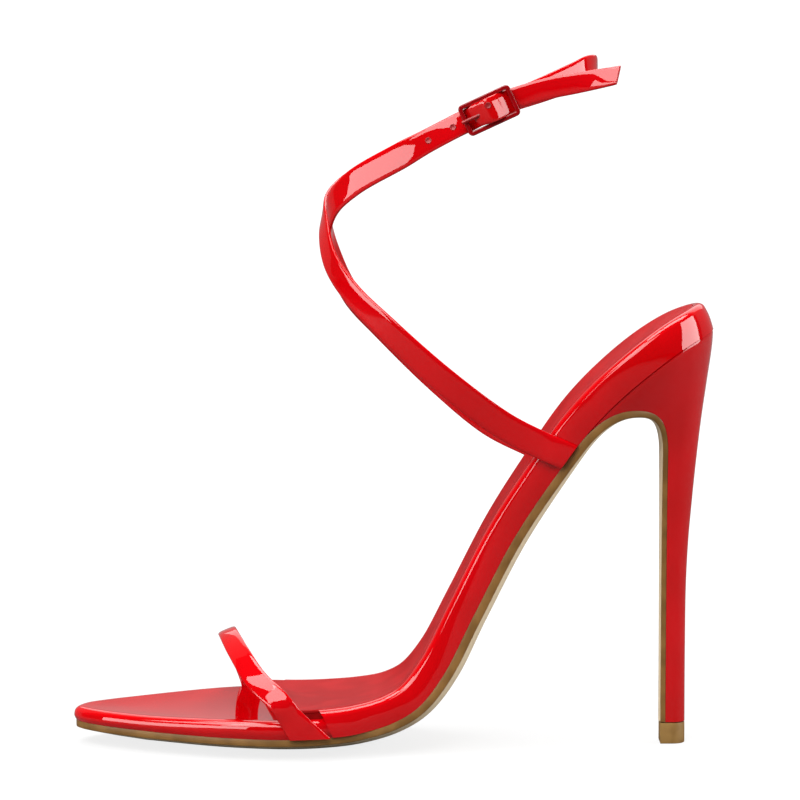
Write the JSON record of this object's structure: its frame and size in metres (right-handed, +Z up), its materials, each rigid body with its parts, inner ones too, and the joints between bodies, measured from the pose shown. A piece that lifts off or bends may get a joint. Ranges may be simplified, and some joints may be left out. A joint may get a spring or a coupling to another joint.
{
  "type": "strappy heeled sandal",
  "caption": "Patent sandal with a high stiletto heel, pointed forefoot, a toe strap and one crossed ankle strap closed by a small buckle.",
  "frame": {"origin": "centre of the flat spot on which the forefoot stands", "axes": "+X from the toe to the heel, -Y the outer side of the foot, +Z up"},
  "size_m": [0.1956, 0.075, 0.2104],
  "materials": {
    "outsole_edge": "satin",
    "patent_red": "high gloss",
    "lining_red": "satin",
    "top_piece_tan": "matte",
    "buckle_enamel": "gloss"
  },
  "bodies": {
    "root": {"outsole": "outsole_edge", "midsole": "patent_red", "insole": "lining_red", "heel": "patent_red", "top_piece": "top_piece_tan", "toe_strap": "patent_red", "ankle_straps": "patent_red", "buckle": "buckle_enamel", "buckle_prong": "buckle_enamel"}
  },
  "joints": []
}
